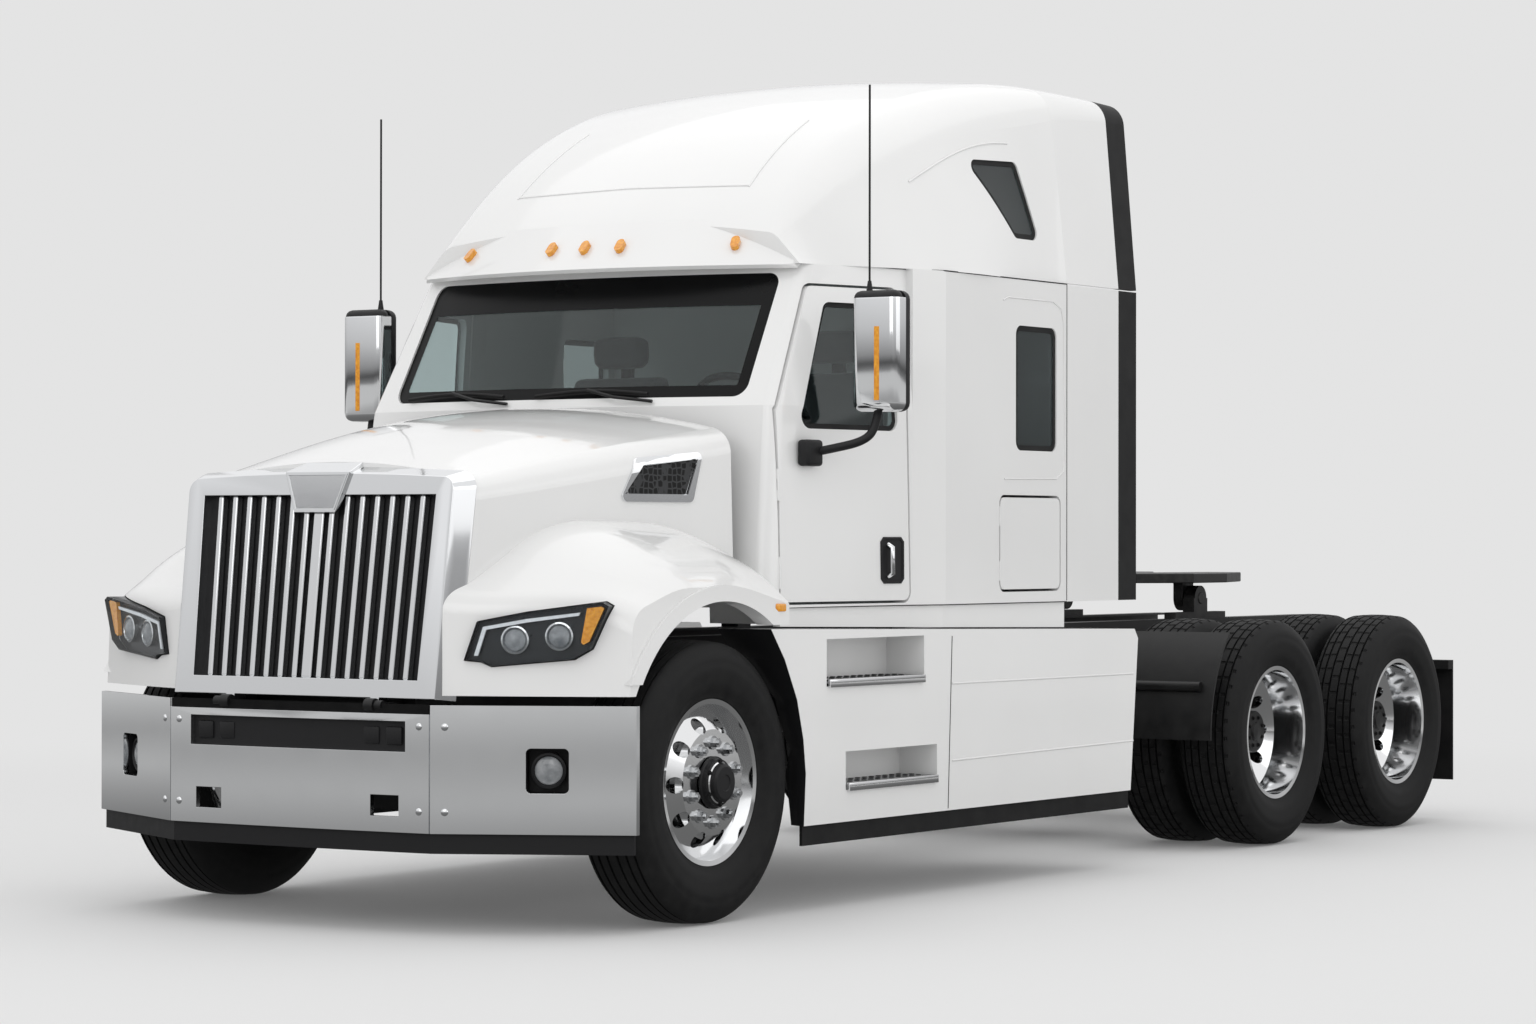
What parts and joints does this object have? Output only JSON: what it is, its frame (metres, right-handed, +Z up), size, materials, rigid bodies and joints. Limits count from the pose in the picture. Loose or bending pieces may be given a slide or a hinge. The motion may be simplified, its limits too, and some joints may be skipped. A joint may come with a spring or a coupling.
{
  "type": "semi truck tractor unit",
  "caption": "Highway semi truck tractor unit: sleeper cab with raised roof, tilting hood, opening doors, steered front axle, twin-tyred tandem axles and a fifth wheel.",
  "frame": {"origin": "on the ground, below the middle of the bounding box, on the centre plane", "axes": "+Z up, -Y the way the truck drives, +X its left side, where the driver sits"},
  "size_m": [2.67, 7.5, 3.3015],
  "materials": {
    "white_paint": "gloss white body paint",
    "chrome_trim": "mirror-bright plating",
    "black_paint": "satin black chassis paint",
    "black_plastic": "moulded, fine grain",
    "black_rubber": "flexible sheet, matt",
    "cast_steel": "cast steel, greased",
    "polished_aluminium": "polished",
    "tyre_rubber": "moulded tread rubber",
    "tinted_glass": "tinted laminated glass",
    "lamp_lens": "clear lens over bright reflectors",
    "amber_lens": "amber lens",
    "red_lens": "red lens",
    "seat_fabric": "woven upholstery"
  },
  "bodies": {
    "chassis": {"cab_shell": "white_paint", "sleeper_shell": "white_paint", "roof_fairing": "white_paint", "cab_glass": "tinted_glass", "side_extenders": "white_paint", "frame": "black_paint", "bumper": "chrome_trim", "bumper_trim": "black_plastic", "skirts": "white_paint", "steps": "polished_aluminium", "rubber_edges": "black_rubber", "fuel_tanks": "polished_aluminium", "outriggers": "black_paint", "front_axle": "black_paint", "drive_axles": "black_paint", "suspension": "black_paint", "driveline": "black_paint", "quarter_fenders": "black_paint", "mud_flaps": "black_rubber", "tail_lamps": "red_lens", "fifth_wheel_mount": "cast_steel", "seats": "seat_fabric", "bunk": "seat_fabric", "dashboard": "black_plastic", "steering_wheel": "black_plastic", "marker_lamps": "amber_lens", "side_hinges": "white_paint", "sills": "white_paint"},
    "hood_body": {"hood": "white_paint", "grille_surround": "chrome_trim", "grille": "chrome_trim", "grille_screen": "black_plastic", "headlights": "lamp_lens", "hood_vents": "chrome_trim"},
    "door_left_body": {"door_left": "white_paint", "door_glass_left": "tinted_glass", "mirror_left": "chrome_trim"},
    "hatch_left_body": {"hatch_left": "white_paint"},
    "steering_left": {"knuckle_left": "black_paint"},
    "front_wheel_left": {"front_tyre_left": "tyre_rubber", "front_rim_left": "polished_aluminium"},
    "front_drive_wheel_left": {"front_drive_tyres_left": "tyre_rubber", "front_drive_rims_left": "polished_aluminium"},
    "rear_drive_wheel_left": {"rear_drive_tyres_left": "tyre_rubber", "rear_drive_rims_left": "polished_aluminium"},
    "door_right_body": {"door_right": "white_paint", "door_glass_right": "tinted_glass", "mirror_right": "chrome_trim"},
    "hatch_right_body": {"hatch_right": "white_paint"},
    "steering_right": {"knuckle_right": "black_paint"},
    "front_wheel_right": {"front_tyre_right": "tyre_rubber", "front_rim_right": "polished_aluminium"},
    "front_drive_wheel_right": {"front_drive_tyres_right": "tyre_rubber", "front_drive_rims_right": "polished_aluminium"},
    "rear_drive_wheel_right": {"rear_drive_tyres_right": "tyre_rubber", "rear_drive_rims_right": "polished_aluminium"},
    "fifth_wheel_body": {"fifth_wheel": "cast_steel"}
  },
  "joints": [
    {"name": "hood_tilt", "type": "hinge", "parent": "chassis", "child": "hood_body", "pos_m": [0, -3.725, 0.795], "axis": [1, 0, 0], "range_deg": [0, 60]},
    {"name": "door_left_swing", "type": "hinge", "parent": "chassis", "child": "door_left_body", "pos_m": [1.0095, -2.1444, 1.2], "axis": [-0.0612, 0.0592, 0.9964], "range_deg": [-70, 0]},
    {"name": "hatch_left_swing", "type": "hinge", "parent": "chassis", "child": "hatch_left_body", "pos_m": [1.15, -0.74, 1.36], "axis": [0, 0, 1], "range_deg": [-90, 0]},
    {"name": "steer_left", "type": "hinge", "parent": "chassis", "child": "steering_left", "pos_m": [0.92, -2.835, 0.508], "axis": [0, 0, 1], "range_deg": [-35, 35]},
    {"name": "front_wheel_left_spin", "type": "hinge", "parent": "steering_left", "child": "front_wheel_left", "pos_m": [1.0485, -2.835, 0.508], "axis": [1, 0, 0], "continuous": true},
    {"name": "front_drive_wheel_left_spin", "type": "hinge", "parent": "chassis", "child": "front_drive_wheel_left", "pos_m": [0.924, 1.675, 0.508], "axis": [1, 0, 0], "continuous": true},
    {"name": "rear_drive_wheel_left_spin", "type": "hinge", "parent": "chassis", "child": "rear_drive_wheel_left", "pos_m": [0.924, 2.996, 0.508], "axis": [1, 0, 0], "continuous": true},
    {"name": "door_right_swing", "type": "hinge", "parent": "chassis", "child": "door_right_body", "pos_m": [-1.0095, -2.1444, 1.2], "axis": [0.0612, 0.0592, 0.9964], "range_deg": [0, 70]},
    {"name": "hatch_right_swing", "type": "hinge", "parent": "chassis", "child": "hatch_right_body", "pos_m": [-1.15, -0.74, 1.36], "axis": [0, 0, 1], "range_deg": [0, 90]},
    {"name": "steer_right", "type": "hinge", "parent": "chassis", "child": "steering_right", "pos_m": [-0.92, -2.835, 0.508], "axis": [0, 0, 1], "range_deg": [-35, 35]},
    {"name": "front_wheel_right_spin", "type": "hinge", "parent": "steering_right", "child": "front_wheel_right", "pos_m": [-1.0485, -2.835, 0.508], "axis": [1, 0, 0], "continuous": true},
    {"name": "front_drive_wheel_right_spin", "type": "hinge", "parent": "chassis", "child": "front_drive_wheel_right", "pos_m": [-0.924, 1.675, 0.508], "axis": [1, 0, 0], "continuous": true},
    {"name": "rear_drive_wheel_right_spin", "type": "hinge", "parent": "chassis", "child": "rear_drive_wheel_right", "pos_m": [-0.924, 2.996, 0.508], "axis": [1, 0, 0], "continuous": true},
    {"name": "fifth_wheel_tilt", "type": "hinge", "parent": "chassis", "child": "fifth_wheel_body", "pos_m": [0, 2.465, 1.095], "axis": [1, 0, 0], "range_deg": [-12, 12]}
  ],
  "couplings": [
    {"joint": "steer_right", "follows": "steer_left", "ratio": 1}
  ]
}
